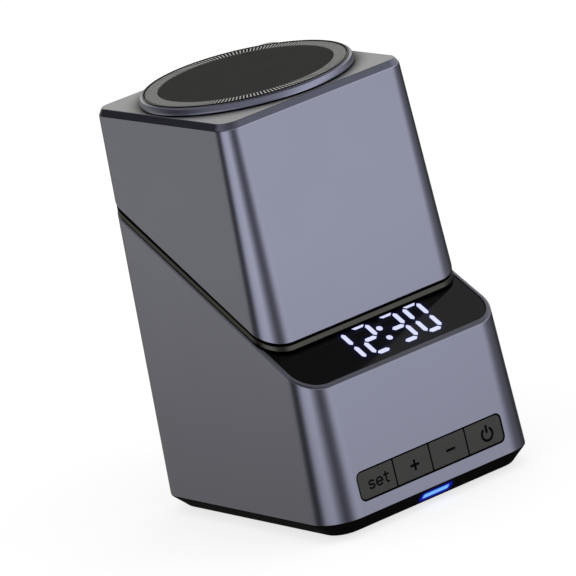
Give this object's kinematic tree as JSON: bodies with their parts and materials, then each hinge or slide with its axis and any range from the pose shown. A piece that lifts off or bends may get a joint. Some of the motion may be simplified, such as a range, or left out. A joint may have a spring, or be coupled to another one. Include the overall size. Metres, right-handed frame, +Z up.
{
  "type": "charging stand clock",
  "caption": "Free-standing wireless charging stand with a digital clock: tapered metal base with slanted display and front keys, and a swivelling head with a round magnetic charging puck.",
  "frame": {"origin": "on the ground plane that the rubber feet stand on, below the middle of the base", "axes": "+Z up, front face with the keys towards -Y, +X to the right seen from the front"},
  "size_m": [0.0696, 0.083, 0.1164],
  "materials": {
    "metal_shell": "satin anodised, lavender grey",
    "black_plastic": "fine moulded texture",
    "deck": "polished smoked panel",
    "band": "satin moulded",
    "key": "fine matt",
    "pad": "soft silicone",
    "ribbed": "fine radial ribs",
    "rubber": "matt",
    "light": "lit light pipe",
    "steel": "zinc plated",
    "board": "solder mask",
    "copper": "enamelled winding",
    "magnet": "plain",
    "lead": "sleeved wire",
    "nylon": "natural"
  },
  "bodies": {
    "base": {"base_shell": "metal_shell", "bottom_tray": "black_plastic", "rubber_foot_1": "rubber", "rubber_foot_2": "rubber", "rubber_foot_3": "rubber", "rubber_foot_4": "rubber", "tray_screw_1": "steel", "tray_screw_2": "steel", "tray_screw_3": "steel", "tray_screw_4": "steel", "status_light_bar": "light", "status_led": "nylon", "ballast_plate": "steel", "main_board": "board", "buzzer": "black_plastic", "usb_inlet": "steel", "display_deck": "deck", "display_module": "black_plastic", "display_board": "board", "bearing_plate": "black_plastic", "swivel_bush": "nylon", "glide_ring": "nylon", "wave_washer": "steel", "key_switch_1": "black_plastic", "key_switch_2": "black_plastic", "key_switch_3": "black_plastic", "key_switch_4": "black_plastic", "key_guide": "black_plastic", "key_board": "board", "base_lead": "lead", "display_lead": "lead", "key_lead": "lead"},
    "head": {"head_shell": "metal_shell", "swivel_collar": "band", "collar_screw_1": "steel", "collar_screw_2": "steel", "collar_screw_3": "steel", "collar_screw_4": "steel", "swivel_shaft": "steel", "stop_plate": "steel", "stop_screw_1": "steel", "stop_screw_2": "steel", "stop_screw_3": "steel", "puck_housing": "metal_shell", "charging_pad": "pad", "ribbed_ring": "ribbed", "magnet_ring": "magnet", "charging_coil": "copper", "ferrite_sheet": "magnet", "puck_clamp": "black_plastic", "puck_screw_1": "steel", "puck_screw_2": "steel", "puck_screw_3": "steel", "charger_board": "board", "head_lead": "lead"},
    "set_key_body": {"set_key": "key"},
    "plus_key_body": {"plus_key": "key"},
    "minus_key_body": {"minus_key": "key"},
    "power_key_body": {"power_key": "key"}
  },
  "joints": [
    {"name": "head_swivel", "type": "hinge", "parent": "base", "child": "head", "pos_m": [0, 0.00682, 0.06872], "axis": [0, -0.4924, 0.8704], "range_deg": [0, 180]},
    {"name": "set_key_press", "type": "slide", "parent": "base", "child": "set_key_body", "axis": [0, 0.9997, -0.0262], "range_m": [0, 0.0005], "stiffness_N_per_m": 400},
    {"name": "plus_key_press", "type": "slide", "parent": "base", "child": "plus_key_body", "axis": [0, 0.9997, -0.0262], "range_m": [0, 0.0005], "stiffness_N_per_m": 400},
    {"name": "minus_key_press", "type": "slide", "parent": "base", "child": "minus_key_body", "axis": [0, 0.9997, -0.0262], "range_m": [0, 0.0005], "stiffness_N_per_m": 400},
    {"name": "power_key_press", "type": "slide", "parent": "base", "child": "power_key_body", "axis": [0, 0.9997, -0.0262], "range_m": [0, 0.0005], "stiffness_N_per_m": 400}
  ]
}
